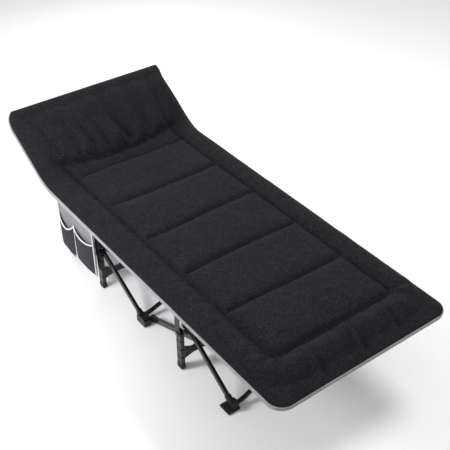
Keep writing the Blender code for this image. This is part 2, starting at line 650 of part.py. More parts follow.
def paddedMesh(name, xFrom, xTo, cornerFrom, cornerTo, topOf, curve, body, slot):
    """Padding over a rounded rectangle: a closed sheet pair, full inside and drawn in at its edge."""
    spaced = edgeSpaced(xFrom, xTo, max(cornerFrom, 0.012), max(cornerTo, 0.012))
    stations = sorted({round(value, 5) for value in spaced})
    across = edgeSpaced(-1.0, 1.0, 0.1, 0.1, 12)
    edit = bmesh.new()
    top, bottom = [], []
    for x in stations:
        halfWidth = WIDTH / 2
        for corner, distance in ((cornerFrom, x - xFrom), (cornerTo, xTo - x)):
            if distance < corner:
                inset = corner - math.sqrt(max(corner**2 - (corner - distance) ** 2, 0.0))
                halfWidth = min(halfWidth, WIDTH / 2 - inset)
        topRow, bottomRow = [], []
        for fraction in across:
            y = fraction * halfWidth
            inward = min(x - xFrom, xTo - x, halfWidth - abs(y))
            over, under = topOf(x, y, inward)
            edge = inward < 1e-6
            upper = edit.verts.new(curve(x, y, over))
            topRow.append(upper)
            bottomRow.append(upper if edge else edit.verts.new(curve(x, y, under)))
        top.append(topRow)
        bottom.append(bottomRow)
    for sheet in (top, bottom):
        for row, following in zip(sheet, sheet[1:]):
            for index in range(len(across) - 1):
                corners = [row[index], row[index + 1], following[index + 1], following[index]]
                edit.faces.new(corners)
    made = addObject(name, finishMesh(name, edit), body, slot)
    made.data.shade_smooth()
    return made


def edgeSpaced(low, high, nearLow, nearHigh, middle=0):
    """Stations from low to high, closer together near both ends."""
    count = middle or max(int((high - low) / 0.04), 4)
    ends = [0.0, 0.12, 0.35, 0.65]
    stations = [low + nearLow * step for step in ends]
    stations += list(np.linspace(low + nearLow, high - nearHigh, count))
    stations += [high - nearHigh * step for step in reversed(ends)]
    return stations


def edgeRound(inward, depth):
    inside = min(max(inward / depth, 0.0), 1.0)
    return math.sqrt(max(1.0 - (1.0 - inside) ** 2, 0.0))


def matProfile(x, y, inward):
    """Distances of the padding's top and underside from the piping's level."""
    rise = SEAM_RISE + (PANEL_RISE - SEAM_RISE) * seamDip(x, y)
    if abs(y) > WIDTH / 2 - BORDER:
        share = (WIDTH / 2 - abs(y)) / BORDER
        rise = min(rise, SEAM_RISE + BORDER_RISE * math.sin(math.pi * share))
    return rise * edgeRound(inward, 0.055), -UNDER_DEPTH * edgeRound(inward, 0.020)


def footProfile(x, y, inward):
    over, under = matProfile(x, y, inward)
    border = x - (FIRST_SEAM + (SEAM_COUNT - 1) * SEAM_SPACING)
    if border > 0.0 and abs(y) <= WIDTH / 2 - BORDER:
        over = min(over, SEAM_RISE + BORDER_RISE * math.sin(math.pi * min(border / FOOT_BORDER, 1.0)))
    return over, under


def pillowProfile(x, y, inward):
    over = PILLOW_RISE * edgeRound(inward, 0.10) ** 1.1
    return over, -UNDER_DEPTH * edgeRound(inward, 0.020)


def flatCurve(x, y, offset):
    return (x, y, EDGE_HEIGHT + offset)


def bentCurve(x, y, offset):
    """Lays the head half's padding along the bent rails; past the bar it curls up to its edge."""
    curl = HEAD_CURL * max(HEAD_CURL_START - x, 0.0)
    slope = (railRise(x - 1e-4) - railRise(x + 1e-4)) / 2e-4
    length = math.hypot(1.0, slope)
    lift = EDGE_HEIGHT - RAIL_HEIGHT + offset
    return (x + lift * slope / length, y, RAIL_HEIGHT + railRise(x) + curl + lift / length)


def addPadding():
    slot = "charcoal_fabric"
    headEnd = HINGE_X - MAT_GAP / 2
    footStart = HINGE_X + MAT_GAP / 2
    start = PILLOW_START + GAP
    paddedMesh("mat_head", start, headEnd, 0, 0, matProfile, bentCurve, "head_half", slot)
    paddedMesh("mat_foot", footStart, LENGTH / 2, 0, 0.055, footProfile, flatCurve, "foot_half", slot)
    paddedMesh("pillow", HEAD_EDGE, PILLOW_START - GAP, 0.03, 0, pillowProfile, bentCurve, "head_half", slot)


def addBag():
    """The storage bag that hangs beside the bed, with two pockets on its face."""
    back = RAIL_Y + RAIL_RADIUS + GAP + SLING_THICKNESS + 0.006
    y = (-back - BAG_CLOTH, -back)
    panel = boxMesh("panel", (BAG_LEFT, BAG_RIGHT), y, (BAG_BOTTOM, BAG_TOP))
    soften(addObject("side_bag", panel, "head_half", "sling_fabric"), 0.001)
    pocketX = ((BAG_LEFT + 0.002, POCKET_SPLIT - 0.002), (POCKET_SPLIT + 0.002, BAG_RIGHT - 0.002))
    faceY = (y[0] - GAP - POCKET_DEPTH, y[0] - GAP)
    for name, x, height in zip(("pocket_head", "pocket_foot"), pocketX, POCKET_HEIGHTS):
        pocket = boxMesh("pocket", x, faceY, (BAG_BOTTOM + 0.002, BAG_BOTTOM + height))
        soften(addObject(name, pocket, "head_half", "pocket_fabric"), 0.003)


pivot("head_half", HINGE_X, HINGE_HEIGHT)
pivot("foot_half", HINGE_X, HINGE_HEIGHT)
pivot("leg_frame_head", LEG_HEAD_X, LEG_PIVOT_HEIGHT)
pivot("leg_frame_foot", LEG_FOOT_X, LEG_PIVOT_HEIGHT)
pivot("mid_frame", LEG_HEAD_X, LEG_PIVOT_HEIGHT)
pivot("floor_frame_head", LEG_HEAD_X - LUG_OFFSET, LUG_PIVOT_HEIGHT)
pivot("floor_frame_foot", LEG_FOOT_X + LUG_OFFSET, LUG_PIVOT_HEIGHT)

addRails()
for sideLabel, sideSign in SIDES:
    addHinge(sideLabel, sideSign)
    addHub("head", LEG_HEAD_X, -1.0, sideLabel, sideSign)
    addHub("foot", LEG_FOOT_X, 1.0, sideLabel, sideSign)
addLegs("head", LEG_HEAD_X)
addLegs("foot", LEG_FOOT_X)
addMidFrame()
addFloorFrame("head", LEG_HEAD_X, -1.0)
addFloorFrame("foot", LEG_FOOT_X, 1.0)
addBraces()
addSling()
addPadding()
addBag()
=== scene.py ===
import math

import bpy
from mathutils import Matrix, Vector, noise


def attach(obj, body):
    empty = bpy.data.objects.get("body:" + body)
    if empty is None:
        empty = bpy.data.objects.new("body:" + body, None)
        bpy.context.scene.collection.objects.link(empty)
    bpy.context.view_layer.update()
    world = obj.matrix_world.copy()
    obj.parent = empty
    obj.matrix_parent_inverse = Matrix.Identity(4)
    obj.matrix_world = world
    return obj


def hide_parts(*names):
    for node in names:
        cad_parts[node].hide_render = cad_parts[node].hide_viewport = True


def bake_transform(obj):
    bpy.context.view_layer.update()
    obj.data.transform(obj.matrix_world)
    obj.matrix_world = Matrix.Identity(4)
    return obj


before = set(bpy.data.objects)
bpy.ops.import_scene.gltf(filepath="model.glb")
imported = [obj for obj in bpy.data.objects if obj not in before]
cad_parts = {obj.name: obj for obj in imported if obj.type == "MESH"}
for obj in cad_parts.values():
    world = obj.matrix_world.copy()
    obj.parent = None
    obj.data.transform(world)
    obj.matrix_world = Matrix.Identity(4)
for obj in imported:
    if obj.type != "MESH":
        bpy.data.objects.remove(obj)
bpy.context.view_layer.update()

# the lines that the padding and the cloth follow, in metres
cotLine = {
    "length": 1.795,
    "width": 0.75,
    "edgeHeight": 0.365,
    "railHeight": 0.334,
    "railRadius": 0.0125,
    "bendStart": -0.55,
    "bendEnd": -0.67,
    "headSlope": math.radians(29.5),
    "curlStart": -0.873,
    "curl": 0.8,
    "hingeX": -0.012,
    "pillowStart": -0.640,
}
edgeLift = cotLine["edgeHeight"] - cotLine["railHeight"]
headEdge = -cotLine["length"] / 2 - edgeLift * math.sin(cotLine["headSlope"])
footEdge = cotLine["length"] / 2


def smoothStep(value):
    value = min(max(value, 0.0), 1.0)
    return value * value * (3 - 2 * value)


def railRise(x):
    if x > cotLine["bendStart"]:
        return 0.0
    bend = cotLine["bendStart"] - cotLine["bendEnd"]
    along = min(cotLine["bendStart"] - x, bend)
    steep = math.tan(cotLine["headSlope"])
    return steep * along * along / (2 * bend) + steep * max(cotLine["bendEnd"] - x, 0.0)


def overRails(x, y, lift):
    # a point lift above the rails' centre line, square to it
    curl = cotLine["curl"] * max(cotLine["curlStart"] - x, 0.0)
    slope = (railRise(x - 1e-4) - railRise(x + 1e-4)) / 2e-4
    length = math.hypot(1.0, slope)
    z = cotLine["railHeight"] + railRise(x) + curl + lift / length
    return Vector((x + lift * slope / length, y, z))


def newGroup(name, inputs, outputs):
    group = bpy.data.node_groups.new(name, "ShaderNodeTree")
    for label, kind, value in inputs:
        socket = group.interface.new_socket(name=label, in_out="INPUT", socket_type=kind)
        if value is not None:
            socket.default_value = value
    for label, kind in outputs:
        group.interface.new_socket(name=label, in_out="OUTPUT", socket_type=kind)
    return group, group.nodes.new("NodeGroupInput"), group.nodes.new("NodeGroupOutput")


def addNode(tree, kind, **settings):
    node = tree.nodes.new(kind)
    for key, value in settings.items():
        setattr(node, key, value)
    return node


def mathNode(tree, operation, first, second=None, clamp=False):
    node = addNode(tree, "ShaderNodeMath", operation=operation, use_clamp=clamp)
    for index, value in enumerate((first, second)):
        if value is None:
            continue
        if isinstance(value, (int, float)):
            node.inputs[index].default_value = value
        else:
            tree.links.new(value, node.inputs[index])
    return node.outputs[0]


def stretchedNoise(tree, coordinate, stretch, detail=2.0, roughness=0.5):
    mapping = addNode(tree, "ShaderNodeMapping")
    mapping.inputs["Scale"].default_value = stretch
    tree.links.new(coordinate, mapping.inputs["Vector"])
    texture = addNode(tree, "ShaderNodeTexNoise")
    texture.inputs["Scale"].default_value = 1.0
    texture.inputs["Detail"].default_value = detail
    texture.inputs["Roughness"].default_value = roughness
    tree.links.new(mapping.outputs["Vector"], texture.inputs["Vector"])
    return texture.outputs["Fac"]


def buildWeaveGroup():
    # threads both ways, with slubs where a yarn is thicker or paler
    group, source, result = newGroup(
        "clothWeave",
        [
            ("Vector", "NodeSocketVector", None),
            ("Threads", "NodeSocketFloat", 900.0),
            ("Slub", "NodeSocketFloat", 1.0),
        ],
        [("Pale", "NodeSocketFloat"), ("Height", "NodeSocketFloat"), ("Broad", "NodeSocketFloat")],
    )
    vector = source.outputs["Vector"]
    crossYarn = stretchedNoise(group, vector, (85.0, 560.0, 560.0), 2.0, 0.6)
    longYarn = stretchedNoise(group, vector, (560.0, 95.0, 120.0), 2.0, 0.6)
    fine = stretchedNoise(group, vector, (1300.0, 1300.0, 1300.0), 1.0, 0.5)
    broad = stretchedNoise(group, vector, (16.0, 16.0, 16.0), 3.0, 0.55)
    yarns = mathNode(group, "MAXIMUM", crossYarn, longYarn)
    raised = mathNode(group, "MULTIPLY", mathNode(group, "SUBTRACT", yarns, 0.50), 4.2, clamp=True)
    slubbed = mathNode(group, "MULTIPLY", raised, source.outputs["Slub"])
    slubShare = mathNode(group, "MULTIPLY", slubbed, 0.75)
    pale = mathNode(group, "ADD", slubShare, mathNode(group, "MULTIPLY", fine, 0.25))
    group.links.new(pale, result.inputs["Pale"])
    separate = addNode(group, "ShaderNodeSeparateXYZ")
    group.links.new(vector, separate.inputs[0])
    waves = []
    for axis in ("X", "Y"):
        scaled = mathNode(group, "MULTIPLY", separate.outputs[axis], source.outputs["Threads"])
        waves.append(mathNode(group, "SINE", scaled))
    threads = mathNode(group, "MULTIPLY", waves[0], waves[1])
    height = mathNode(group, "ADD", mathNode(group, "MULTIPLY", threads, 0.35), raised)
    group.links.new(height, result.inputs["Height"])
    group.links.new(broad, result.inputs["Broad"])
    return group


def buildWearGroup():
    # scuffs and dust that break up a coated or moulded surface
    group, source, result = newGroup(
        "handlingWear",
        [("Vector", "NodeSocketVector", None), ("Size", "NodeSocketFloat", 1.0)],
        [("Scuff", "NodeSocketFloat"), ("Grain", "NodeSocketFloat")],
    )
    scaled = addNode(group, "ShaderNodeVectorMath", operation="SCALE")
    group.links.new(source.outputs["Vector"], scaled.inputs[0])
    group.links.new(source.outputs["Size"], scaled.inputs["Scale"])
    coarse = stretchedNoise(group, scaled.outputs[0], (38.0, 38.0, 90.0), 5.0, 0.65)
    grain = stretchedNoise(group, scaled.outputs[0], (900.0, 900.0, 900.0), 2.0, 0.5)
    scuff = mathNode(group, "MULTIPLY", mathNode(group, "SUBTRACT", coarse, 0.52), 4.0, clamp=True)
    group.links.new(scuff, result.inputs["Scuff"])
    group.links.new(grain, result.inputs["Grain"])
    return group


weaveGroup = buildWeaveGroup()
wearGroup = buildWearGroup()


def startMaterial(name):
    made = bpy.data.materials.new(name)
    made.use_nodes = True
    tree = made.node_tree
    shader = tree.nodes["Principled BSDF"]
    coordinates = addNode(tree, "ShaderNodeTexCoord")
    return made, tree, shader, coordinates.outputs["Object"]


def placeGroup(tree, group, vector, **values):
    node = addNode(tree, "ShaderNodeGroup", node_tree=group)
    tree.links.new(vector, node.inputs["Vector"])
    for key, value in values.items():
        node.inputs[key].default_value = value
    return node


def mixColor(tree, factor, first, second):
    node = addNode(tree, "ShaderNodeMix", data_type="RGBA")
    tree.links.new(factor, node.inputs["Factor"])
    for socket, value in ((node.inputs["A"], first), (node.inputs["B"], second)):
        if isinstance(value, tuple):
            socket.default_value = (*value, 1.0)
        else:
            tree.links.new(value, socket)
    return node.outputs["Result"]


def bumpInto(tree, shader, height, strength, distance):
    bump = addNode(tree, "ShaderNodeBump")
    bump.inputs["Strength"].default_value = strength
    bump.inputs["Distance"].default_value = distance
    tree.links.new(height, bump.inputs["Height"])
    tree.links.new(bump.outputs["Normal"], shader.inputs["Normal"])


def clothMaterial(name, dark, pale, threads, slub, sheen, roughness, bumpDepth=0.0006):
    made, tree, shader, vector = startMaterial(name)
    weave = placeGroup(tree, weaveGroup, vector, Threads=threads, Slub=slub)
    base = mixColor(tree, weave.outputs["Pale"], dark, pale)
    tint = mathNode(tree, "MULTIPLY_ADD", weave.outputs["Broad"], 0.5)
    tint.node.inputs[2].default_value = 0.72
    shaded = addNode(tree, "ShaderNodeVectorMath", operation="SCALE")
    tree.links.new(base, shaded.inputs[0])
    tree.links.new(tint, shaded.inputs["Scale"])
    tree.links.new(shaded.outputs[0], shader.inputs["Base Color"])
    shader.inputs["Roughness"].default_value = roughness
    shader.inputs["Sheen Weight"].default_value = sheen
    shader.inputs["Sheen Roughness"].default_value = 0.45
    shader.inputs["Specular IOR Level"].default_value = 0.12
    bumpInto(tree, shader, weave.outputs["Height"], 0.55, bumpDepth)
    return made


def hardMaterial(name, dark, worn, roughness, roughRange, metallic, grainDepth, size=1.0, coat=0.0):
    made, tree, shader, vector = startMaterial(name)
    wear = placeGroup(tree, wearGroup, vector, Size=size)
    tree.links.new(mixColor(tree, wear.outputs["Scuff"], dark, worn), shader.inputs["Base Color"])
    rough = mathNode(tree, "MULTIPLY_ADD", wear.outputs["Scuff"], roughRange)
    rough.node.inputs[2].default_value = roughness
    tree.links.new(rough, shader.inputs["Roughness"])
    shader.inputs["Metallic"].default_value = metallic
    shader.inputs["Coat Weight"].default_value = coat
    shader.inputs["Coat Roughness"].default_value = 0.18
    shader.inputs["Specular IOR Level"].default_value = 0.36
    bumpInto(tree, shader, wear.outputs["Grain"], 0.35, grainDepth)
    return made


charcoalLinen = clothMaterial(
    "charcoalLinen",
    dark=(0.0012, 0.0012, 0.0016),
    pale=(0.0345, 0.0340, 0.0400),
    threads=2400.0,
    slub=1.0,
    sheen=0.02,
    roughness=0.90,
)
pocketCloth = clothMaterial(
    "pocketCloth",
    dark=(0.022, 0.023, 0.028),
    pale=(0.054, 0.056, 0.066),
    threads=2800.0,
    slub=0.6,
    sheen=0.03,
    roughness=0.85,
    bumpDepth=0.0004,
)
bagCloth = clothMaterial(
    "bagCloth",
    dark=(0.19, 0.19, 0.20),
    pale=(0.29, 0.29, 0.30),
    threads=3000.0,
    slub=0.5,
    sheen=0.03,
    roughness=0.80,
    bumpDepth=0.0003,
)
greyCloth = clothMaterial(
    "greyCloth",
    dark=(0.27, 0.27, 0.285),
    pale=(0.41, 0.41, 0.425),
    threads=3000.0,
    slub=0.5,
    sheen=0.05,
    roughness=0.80,
    bumpDepth=0.0003,
)
whiteBinding = clothMaterial(
    "whiteBinding",
    dark=(0.66, 0.66, 0.67),
    pale=(0.84, 0.84, 0.85),
    threads=3600.0,
    slub=0.4,
    sheen=0.05,
    roughness=0.75,
    bumpDepth=0.0003,
)
seamThread = clothMaterial(
    "seamThread",
    dark=(0.006, 0.006, 0.007),
    pale=(0.022, 0.022, 0.025),
    threads=4200.0,
    slub=0.4,
    sheen=0.0,
    roughness=0.8,
    bumpDepth=0.0002,
)
tubeCoat = hardMaterial(
    "tubeCoat",
    dark=(0.0025, 0.0025, 0.003),
    worn=(0.009, 0.009, 0.010),
    roughness=0.20,
    roughRange=0.20,
    metallic=0.0,
    grainDepth=0.00006,
    size=1.0,
    coat=0.12,
)
mouldedBlack = hardMaterial(
    "mouldedBlack",
    dark=(0.003, 0.003, 0.0035),
    worn=(0.010, 0.010, 0.011),
    roughness=0.38,
    roughRange=0.20,
    metallic=0.0,
    grainDepth=0.00012,
    size=1.4,
)
padRubber = hardMaterial(
    "padRubber",
    dark=(0.007, 0.007, 0.007),
    worn=(0.022, 0.022, 0.022),
    roughness=0.62,
    roughRange=0.20,
    metallic=0.0,
    grainDepth=0.0002,
    size=1.8,
)
darkZinc = hardMaterial(
    "darkZinc",
    dark=(0.16, 0.16, 0.17),
    worn=(0.30, 0.30, 0.31),
    roughness=0.30,
    roughRange=0.25,
    metallic=1.0,
    grainDepth=0.00005,
    size=2.0,
)

nodeFinish = (
    (("hub", "hinge_leaf", "strut", "mid_block", "brace_knuckle"), mouldedBlack),
    (("pad", "leg_cap"), padRubber),
    (("hinge_pin", "bolt"), darkZinc),
    (("rail", "bar", "diag", "floor_tube", "brace", "leg"), tubeCoat),
)
for nodeName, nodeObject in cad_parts.items():
    for prefixes, finish in nodeFinish:
        if nodeName.startswith(prefixes):
            for materialSlot in nodeObject.material_slots:
                materialSlot.material = finish
            break
print("materials ready")


def makeObject(name, vertices, faces, finish, smooth=True):
    mesh = bpy.data.meshes.new(name)
    mesh.from_pydata([tuple(point) for point in vertices], [], faces)
    mesh.validate()
    made = bpy.data.objects.new(name, mesh)
    bpy.context.scene.collection.objects.link(made)
    mesh.materials.append(finish)
    if smooth:
        mesh.shade_smooth()
    return made


def tubeAlong(name, path, radius, finish, steps=8, closed=False):
    # a round cord that follows a path of points
    vertices = []
    faces = []
    count = len(path)
    for index, point in enumerate(path):
        before = path[(index - 1) % count] if closed or index else path[0]
        after = path[(index + 1) % count] if closed or index < count - 1 else path[-1]
        along = (after - before).normalized()
        side = along.cross(Vector((0, 0, 1)))
        if side.length < 0.05:
            side = along.cross(Vector((0, 1, 0)))
        side.normalize()
        up = side.cross(along).normalized()
        for step in range(steps):
            turn = math.tau * step / steps
            vertices.append(point + radius * (math.cos(turn) * side + math.sin(turn) * up))
    rings = count if closed else count - 1
    for ring in range(rings):
        for step in range(steps):
            after = (step + 1) % steps
            first = ring * steps
            following = ((ring + 1) % count) * steps
            faces.append((first + step, first + after, following + after, following + step))
    if not closed:
        faces.append(tuple(reversed(range(steps))))
        faces.append(tuple(range((count - 1) * steps, count * steps)))
    return makeObject(name, vertices, faces, finish)


def thicken(piece, thickness):
    solid = piece.modifiers.new("Solidify", "SOLIDIFY")
    solid.thickness = thickness
    solid.offset = 0.0


def bell(value, centre, width):
    # 1 at the centre, falling off smoothly over the width
    return math.exp(-(((value - centre) / width) ** 2))


def cloudAt(x, y, scale, seed=0.0):
    return noise.noise(Vector((x * scale, y * scale, seed)))


mat = {
    "border": 0.116,
    "seams": (-0.5232, -0.2721, -0.0210, 0.2301, 0.4812, 0.7323),
    "seamRise": 0.0140,
    "panelRise": 0.0415,
    "borderRise": 0.0375,
    "pillowRise": 0.074,
    "under": -0.0128,
    "stitchCorner": 0.035,
    "headCorner": 0.030,
    "footCorner": 0.055,
    "step": 0.0072,
}
seamY = cotLine["width"] / 2 - mat["border"]
footSeam = mat["seams"][-1]
# soft creases over the head cushion: where each starts and ends across, how deep, how wide
pillowCreases = (
    (-0.245, -0.315, 0.012, 0.014),
    (-0.185, -0.175, 0.009, 0.018),
    (-0.105, -0.145, 0.009, 0.016),
    (-0.035, -0.100, 0.010, 0.014),
    (0.052, 0.020, 0.024, 0.024),
    (0.150, 0.165, 0.016, 0.028),
    (0.235, 0.275, 0.014, 0.020),
)
pillowRidges = (
    (0.005, -0.045, 0.013, 0.020),
    (-0.140, -0.190, 0.007, 0.030),
    (0.100, 0.095, 0.006, 0.024),
    (0.195, 0.220, 0.007, 0.024),
)
# pleats across the foot border: where each starts and ends across, how high, how wide
footPleats = (
    (-0.168, -0.180, 0.0075, 0.011),
    (0.016, -0.010, 0.0095, 0.013),
    (0.160, 0.148, 0.0070, 0.011),
    (-0.060, -0.075, 0.0030, 0.016),
    (0.085, 0.078, 0.0030, 0.016),
)


def channel(distance, sharp, broad):
    # how full the padding is this far from a seam: a narrow stitch line in a wide soft valley
    narrow = 1.0 - math.exp(-((distance / sharp) ** 2))
    wide = 1.0 - math.exp(-((distance / broad) ** 1.1))
    return 0.55 * narrow + 0.45 * wide


def seamLine(seam, y):
    # a cross channel wanders a little on its way over the mat
    return seam - 0.004 * math.sin(9.0 * y + seam * 7)


def seamDistance(x, y):
    return min(abs(x - seamLine(seam, y)) for seam in mat["seams"][:-1])


def cornerDistance(x, y):
    # distance outside the rounded rectangle of stitching inside the border, and below zero within it
    radius = mat["stitchCorner"]
    left = cotLine["pillowStart"] - 0.25
    half = (footSeam - left) / 2
    centre = (footSeam + left) / 2
    beyondX = abs(x - centre) - (half - radius)
    beyondY = abs(y) - (seamY - radius)
    outside = math.hypot(max(beyondX, 0.0), max(beyondY, 0.0))
    return outside + min(max(beyondX, beyondY), 0.0) - radius


def edgeRound(inward, depth):
    inside = min(max(inward / depth, 0.0), 1.0)
    return math.sqrt(max(1.0 - (1.0 - inside) ** 2, 0.0))


def matTop(x, y, inward):
    ring = cornerDistance(x, y)
    if ring < 0.0:
        nearest = seamDistance(x, y)
        full = min(channel(-ring, 0.0070, 0.040), channel(nearest, 0.0065, 0.036))
        rise = mat["seamRise"] + (mat["panelRise"] - mat["seamRise"]) * full
        # short tucks running away from the stitch lines
        tuck = math.exp(-nearest / 0.030) * noise.noise(Vector((y * 48, x * 7, 3.1)))
        sideTuck = math.exp(ring / 0.030) * noise.noise(Vector((x * 52, y * 8, 8.7)))
        rise += 0.0026 * tuck + 0.0024 * sideTuck
        rise += 0.0016 * cloudAt(x, y, 11.0, 2.2) + 0.0008 * cloudAt(x, y, 31.0, 4.2)
    else:
        share = min(ring / mat["border"], 1.0)
        crown = math.sin(math.pi * min(share * 0.98, 1.0)) ** 0.75
        rise = mat["seamRise"] * (1.0 - 0.55 * share)
        rise += (mat["borderRise"] - 0.55 * mat["seamRise"]) * crown
        rise = mat["seamRise"] + (rise - mat["seamRise"]) * channel(ring, 0.0070, 0.022)
        isFoot = smoothStep((x - footSeam + 0.03) / 0.05)
        gathers = noise.noise(Vector((y * 46, x * 6, 1.7))) + 0.5 * noise.noise(Vector((y * 95, x * 9, 6.1)))
        sides = noise.noise(Vector((x * 38, y * 7, 5.3)))
        near = math.exp(-ring / 0.050)
        rise += near * (0.0052 * gathers * isFoot + 0.0030 * sides * (1.0 - isFoot))
        along = smoothStep((x - footSeam) / 0.03) * smoothStep((footEdge - x) / 0.05)
        for low, high, height, width in footPleats:
            centre = low + (high - low) * (x - footSeam) / 0.14
            fold = bell(y, centre, width) - 0.9 * bell(y, centre + 1.7 * width, width)
            rise += along * height * fold
        cornerPull = bell(x, footSeam + 0.01, 0.07) * bell(abs(y), seamY + 0.01, 0.07)
        around = math.atan2(abs(y) - seamY + 0.02, x - footSeam + 0.02)
        fan = math.sin(9.0 * around + 2.0 * cloudAt(x, y, 9.0, 0.3))
        rise += 0.0042 * cornerPull * fan
        rise += 0.0022 * cloudAt(x, y, 8.0, 7.7) + 0.0009 * cloudAt(x, y, 26.0, 1.2)
    return rise * edgeRound(inward, 0.050)


def pillowTop(x, y, inward):
    start = pillowBase(y)
    along = (start - x) / (start - headEdge)
    shape = edgeRound(min(start - x + 0.004, 0.10), 0.085) * edgeRound(inward, 0.105) ** 1.05
    rise = mat["pillowRise"] * shape
    fade = smoothStep(along * 4.0) * (1.0 - smoothStep((along - 0.72) / 0.28))
    strong = math.exp(-along * 1.5)
    for low, high, depth, width in pillowCreases:
        centre = low + (high - low) * along
        rise -= 1.9 * depth * bell(y, centre, width * (0.7 + 0.9 * along)) * fade * strong
    for low, high, height, width in pillowRidges:
        centre = low + (high - low) * along
        rise += 1.7 * height * bell(y, centre, width * (0.8 + 0.7 * along)) * fade * strong
    rise += 0.0040 * noise.noise(Vector((y * 13, along * 2.2, 4.4))) * shape
    rise += 0.0030 * cloudAt(x, y, 9.0, 9.1) * shape
    gathers = math.exp(-max(start - x, 0.0) / 0.045) * noise.noise(Vector((y * 30, x * 5, 2.9)))
    fan = math.sin(11.0 * math.atan2(start + 0.02 - x, abs(abs(y) - seamY) + 0.01))
    pulled = math.exp(-math.hypot(start - x, abs(y) - seamY) / 0.055)
    rise += 0.0032 * gathers * edgeRound(inward, 0.05)
    return rise + 0.0065 * fan * pulled * edgeRound(inward, 0.04)


def pillowBase(y):
    # the head cushion's lower edge bows towards the foot in the middle
    return cotLine["pillowStart"] - 0.016 + 0.052 * max(1.0 - (y / seamY) ** 2, 0.0) ** 0.8


def topRise(x, y, inward):
    start = pillowBase(y)
    share = smoothStep((start + 0.006 - x) / 0.018)
    ends = smoothStep((0.315 - abs(y)) / 0.07)  # the base seam fades out into the side borders
    softened = smoothStep((start + 0.055 - x) / 0.24)
    share = share * ends + softened * (1.0 - ends)
    low = matTop(x, y, inward)
    nearSeam = math.exp(-max(x - start, 0.0) / 0.018) * ends
    low -= (low - 0.010) * 0.80 * nearSeam
    if share <= 0.0:
        return low
    return low + (pillowTop(x, y, inward) - low) * share


def halfWidthAt(x):
    full = cotLine["width"] / 2
    half = full
    for corner, distance in ((mat["headCorner"], x - headEdge), (mat["footCorner"], footEdge - x)):
        if distance < corner:
            arc = math.sqrt(max(corner**2 - (corner - distance) ** 2, 0.0))
            half = min(half, full - corner + arc)
    wobble = 0.0016 * noise.noise(Vector((x * 14.0, 0.0, 3.0)))
    return half - 0.0016 + wobble


def spacedStations(low, high, step, near=0.05):
    stations = []
    for share in (0.0, 0.04, 0.12, 0.25, 0.42, 0.62, 0.82):
        stations.append(low + near * share)
    count = int((high - low - 2 * near) / step)
    stations += [low + near + (high - low - 2 * near) * index / count for index in range(count + 1)]
    for share in (0.82, 0.62, 0.42, 0.25, 0.12, 0.04, 0.0):
        stations.append(high - near * share)
    return stations


def matUnder(x, y, inward):
    under = mat["under"] * edgeRound(inward, 0.018)
    # a hollow over each middle hinge
    notch = smoothStep((0.034 - abs(x - cotLine["hingeX"])) / 0.008)
    notch *= smoothStep((0.030 - abs(abs(y) - 0.301)) / 0.008)
    return under + 0.0115 * notch


def buildMat():
    stations = spacedStations(headEdge + 0.0004, footEdge - 0.0004, mat["step"])
    across = spacedStations(-1.0, 1.0, mat["step"] / 0.375, 0.14)
    vertices, faces, holds = [], [], []
    topIndex, bottomIndex = [], []
    for x in stations:
        half = halfWidthAt(x)
        topRow, bottomRow = [], []
        for share in across:
            y = share * half
            inward = min(x - stations[0], stations[-1] - x, half - abs(y))
            onEdge = inward < 1e-6
            topRow.append(len(vertices))
            vertices.append(overRails(x, y, edgeLift + (0.0 if onEdge else topRise(x, y, inward))))
            holds.append(stitchHold(x, y, inward, True))
            if onEdge:
                bottomRow.append(topRow[-1])
            else:
                bottomRow.append(len(vertices))
                holds.append(stitchHold(x, y, inward, False))
                vertices.append(overRails(x, y, edgeLift + matUnder(x, y, inward)))
        topIndex.append(topRow)
        bottomIndex.append(bottomRow)
    for rows, flip in ((topIndex, True), (bottomIndex, False)):
        for row, following in zip(rows, rows[1:]):
            for index in range(len(across) - 1):
                corners = (row[index], row[index + 1], following[index + 1], following[index])
                faces.append(tuple(reversed(corners)) if flip else corners)
    return makeObject("quiltedMat", vertices, faces, charcoalLinen), holds


def stitchLines():
    # the sewn lines as (x, y) points: the cross channels, then the line inside the border
    inner = seamY - 0.006
    for seam in mat["seams"][:-1]:
        ys = [-inner + 2 * inner * index / 90 for index in range(91)]
        yield [(seamLine(seam, y), y) for y in ys]
    start = cotLine["pillowStart"] + 0.045
    radius = mat["stitchCorner"]
    line = [(start + (footSeam - radius - start) * index / 240, -seamY) for index in range(241)]
    for index in range(1, 9):
        angle = math.radians(-90 + 90 * index / 8)
        x = footSeam - radius + radius * math.cos(angle)
        line.append((x, -seamY + radius + radius * math.sin(angle)))
    yield line + [(x, -y) for x, y in reversed(line)]


def placeOnMat(x, y):
    inward = min(x - headEdge, footEdge - x, cotLine["width"] / 2 - abs(y))
    return overRails(x, y, edgeLift + topRise(x, y, inward) + stitch["proud"])


